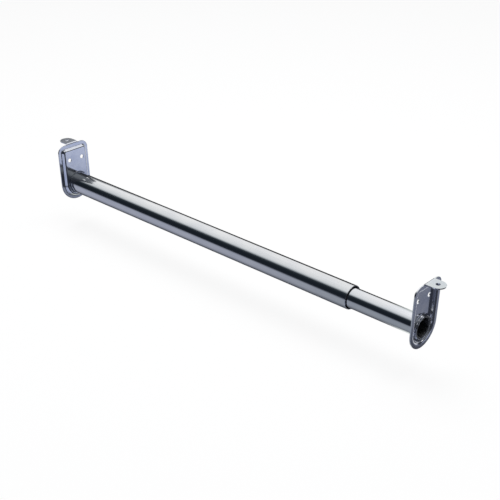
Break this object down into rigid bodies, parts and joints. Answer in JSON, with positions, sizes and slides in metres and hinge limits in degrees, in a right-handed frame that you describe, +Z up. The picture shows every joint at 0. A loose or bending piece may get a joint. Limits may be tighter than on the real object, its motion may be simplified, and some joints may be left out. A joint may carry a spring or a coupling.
{
  "type": "telescoping hanging bar",
  "caption": "Telescoping round hanging bar: a thin tube slides in a thicker one, and each outer end carries a pressed flange with wall screw holes and a folded top tab.",
  "frame": {"origin": "where the bar's axis meets the left flange's seat plane on the wall", "axes": "+X along the bar towards the right flange, +Z up towards the tabs, +Y away from the front"},
  "size_m": [0.544, 0.0436, 0.0715],
  "materials": {
    "outer_tube_steel": "bright plated steel with fine lengthwise draw lines",
    "inner_tube_steel": "bright plated steel with fine lengthwise draw lines",
    "flange_steel": "bright plated pressed steel, slightly blue",
    "sleeve_plastic": "plain moulded nylon"
  },
  "bodies": {
    "fixed_end": {"outer_tube": "outer_tube_steel", "left_flange": "flange_steel"},
    "sleeve": {"guide_sleeve": "sleeve_plastic"},
    "sliding_end": {"inner_tube": "inner_tube_steel", "right_flange": "flange_steel"}
  },
  "joints": [
    {"name": "length_slide", "type": "slide", "parent": "fixed_end", "child": "sleeve", "axis": [1, 0, 0], "range_m": [-0.077, 0.252]},
    {"name": "tube_turn", "type": "hinge", "parent": "sleeve", "child": "sliding_end", "pos_m": [0.4, 0, 0], "axis": [1, 0, 0], "continuous": true}
  ]
}
